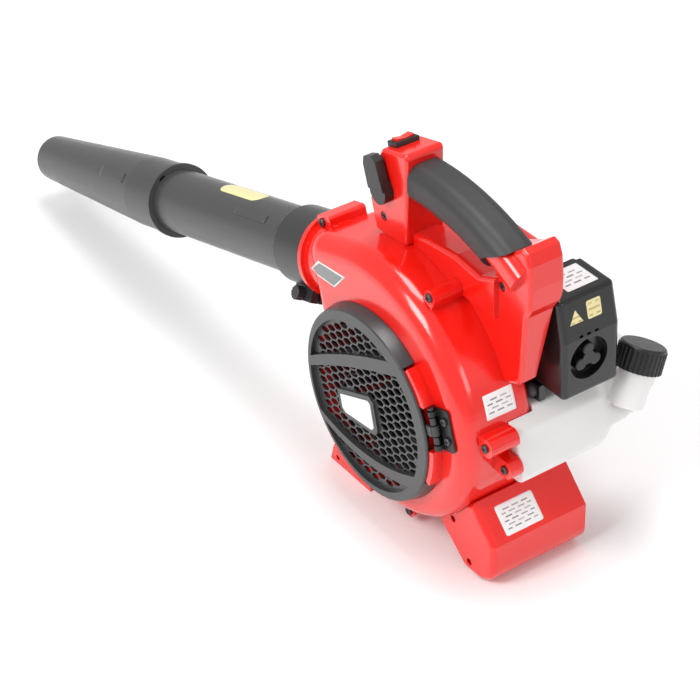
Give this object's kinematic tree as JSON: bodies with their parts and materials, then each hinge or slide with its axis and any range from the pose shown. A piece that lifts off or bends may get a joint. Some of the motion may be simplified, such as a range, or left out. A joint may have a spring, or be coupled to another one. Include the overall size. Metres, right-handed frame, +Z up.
{
  "type": "leaf blower",
  "caption": "Handheld petrol leaf blower with a spiral fan housing, two-part blow tube, top handle, engine and tank",
  "frame": {"origin": "on the floor, under the fan axis, at the middle of the stand's base plate", "axes": "+X to the rear, away from the blow tube; +Y from the intake guard towards the engine; +Z up"},
  "size_m": [0.9217, 0.238, 0.404],
  "materials": {
    "red_plastic": "smooth glossy moulded",
    "black_plastic": "fine-grained moulded",
    "tube_plastic": "fine-grained moulded",
    "rubber": "soft matte",
    "steel": "zinc plated",
    "aluminium": "die cast",
    "tank_plastic": "milky translucent",
    "badge": "blank plate",
    "plug_white": "ceramic and steel",
    "rope": "braided",
    "gasket": "fibre sheet",
    "foam": "open-cell foam",
    "fuel_hose": "smooth",
    "switch_red": "smooth"
  },
  "bodies": {
    "blower": {"volute_left": "red_plastic", "volute_right": "red_plastic", "housing_screws": "steel", "guard_hinge": "black_plastic", "guard_hinge_pin": "steel", "guard_springs": "steel", "hinge_screws": "steel", "tube_clamp": "tube_plastic", "clamp_nut": "steel", "crankcase_front": "aluminium", "crankcase_rear": "aluminium", "crank_bearings": "steel", "cylinder": "aluminium", "piston": "aluminium", "wrist_pin": "steel", "connecting_rod": "aluminium", "spark_plug": "plug_white", "plug_boot": "rubber", "ignition_coil": "black_plastic", "starter_housing": "black_plastic", "recoil_spring": "steel", "engine_shroud": "red_plastic", "muffler_gasket": "gasket", "muffler": "steel", "muffler_guard": "black_plastic", "intake_insulator": "black_plastic", "carburettor": "aluminium", "air_filter_base": "black_plastic", "air_filter_element": "foam", "fuel_tank": "tank_plastic", "fuel_line": "fuel_hose", "stand": "red_plastic", "engine_screws": "steel", "handle_left": "red_plastic", "handle_right": "red_plastic", "handle_screws": "steel", "switch_bezel": "black_plastic", "handle_grip": "rubber"},
    "rotor": {"impeller": "black_plastic", "fan_nut": "steel", "crankshaft": "steel", "flywheel": "aluminium", "flywheel_nut": "steel"},
    "guard": {"intake_guard": "black_plastic", "guard_badge": "badge", "guard_latch_screw": "steel"},
    "tube": {"upper_tube": "tube_plastic"},
    "nozzle": {"nozzle": "tube_plastic"},
    "clamp_bolt": {"clamp_bolt": "black_plastic"},
    "trigger": {"throttle_trigger": "black_plastic"},
    "throttle": {"throttle_shaft": "steel"},
    "cruise": {"cruise_lever": "black_plastic"},
    "rocker": {"stop_rocker": "switch_red"},
    "filter_cover": {"air_filter_cover": "black_plastic"},
    "knob": {"cover_knob": "black_plastic"},
    "primer": {"primer_bulb": "rubber"},
    "cap": {"fuel_cap": "black_plastic"},
    "starter_pulley": {"starter_pulley": "black_plastic"},
    "starter_handle": {"starter_handle": "black_plastic", "starter_rope": "rope"}
  },
  "joints": [
    {"name": "engine_spin", "type": "hinge", "parent": "blower", "child": "rotor", "pos_m": [0, 0, 0.148], "axis": [0, 1, 0], "continuous": true},
    {"name": "guard_hinge", "type": "hinge", "parent": "blower", "child": "guard", "pos_m": [0.10355, -0.116, 0.17867], "axis": [-0.284, 0, 0.9588], "range_deg": [0, 100], "stiffness_Nm_per_rad": 0.02, "springref_deg": -20.05},
    {"name": "tube_slide", "type": "slide", "parent": "blower", "child": "tube", "axis": [-0.9588, 0, -0.284], "range_m": [0, 0.03]},
    {"name": "nozzle_twist", "type": "hinge", "parent": "tube", "child": "nozzle", "pos_m": [-0.51349, -0.068, 0.12105], "axis": [-0.9588, 0, -0.284], "range_deg": [0, 25]},
    {"name": "clamp_bolt_turn", "type": "hinge", "parent": "blower", "child": "clamp_bolt", "pos_m": [-0.14058, -0.0903, 0.18777], "axis": [0.1333, 0.8829, -0.4501], "continuous": true},
    {"name": "throttle_trigger", "type": "hinge", "parent": "blower", "child": "trigger", "pos_m": [0.002, -0.044, 0.366], "axis": [0, -1, 0], "range_deg": [0, 12], "stiffness_Nm_per_rad": 0.6, "springref_deg": -8.59},
    {"name": "throttle_valve", "type": "hinge", "parent": "blower", "child": "throttle", "pos_m": [0.062, 0, 0.228], "axis": [0, 1, 0], "range_deg": [0, 75]},
    {"name": "cruise_lever", "type": "hinge", "parent": "blower", "child": "cruise", "pos_m": [-0.038, -0.066, 0.354], "axis": [0, 1, 0], "range_deg": [0, 50]},
    {"name": "stop_rocker", "type": "hinge", "parent": "blower", "child": "rocker", "pos_m": [-0.03981, -0.044, 0.39836], "axis": [0.9673, 0, 0.2538], "range_deg": [-7, 7]},
    {"name": "filter_cover_slide", "type": "slide", "parent": "blower", "child": "filter_cover", "axis": [1, 0, 0], "range_m": [0, 0.06]},
    {"name": "cover_knob_turn", "type": "hinge", "parent": "filter_cover", "child": "knob", "pos_m": [0.165, 0.012, 0.244], "axis": [1, 0, 0], "continuous": true},
    {"name": "primer_press", "type": "slide", "parent": "blower", "child": "primer", "axis": [0, 1, 0], "range_m": [0, 0.003], "stiffness_N_per_m": 1500, "springref_m": -0.0005},
    {"name": "fuel_cap_turn", "type": "hinge", "parent": "blower", "child": "cap", "pos_m": [0.16, 0.08, 0.1966], "axis": [-0.1, 0.4047, 0.909], "continuous": true},
    {"name": "starter_pull", "type": "slide", "parent": "blower", "child": "starter_handle", "axis": [0, 0, 1], "range_m": [0, 0.06], "stiffness_N_per_m": 80, "springref_m": -0.05},
    {"name": "starter_turn", "type": "hinge", "parent": "blower", "child": "starter_pulley", "pos_m": [0, 0.061, 0.148], "axis": [0, 1, 0], "range_deg": [0, 190]}
  ],
  "couplings": [
    {"joint": "throttle_valve", "follows": "throttle_trigger", "ratio": 6.25},
    {"joint": "starter_turn", "follows": "starter_pull", "rad_per_m": 54}
  ]
}
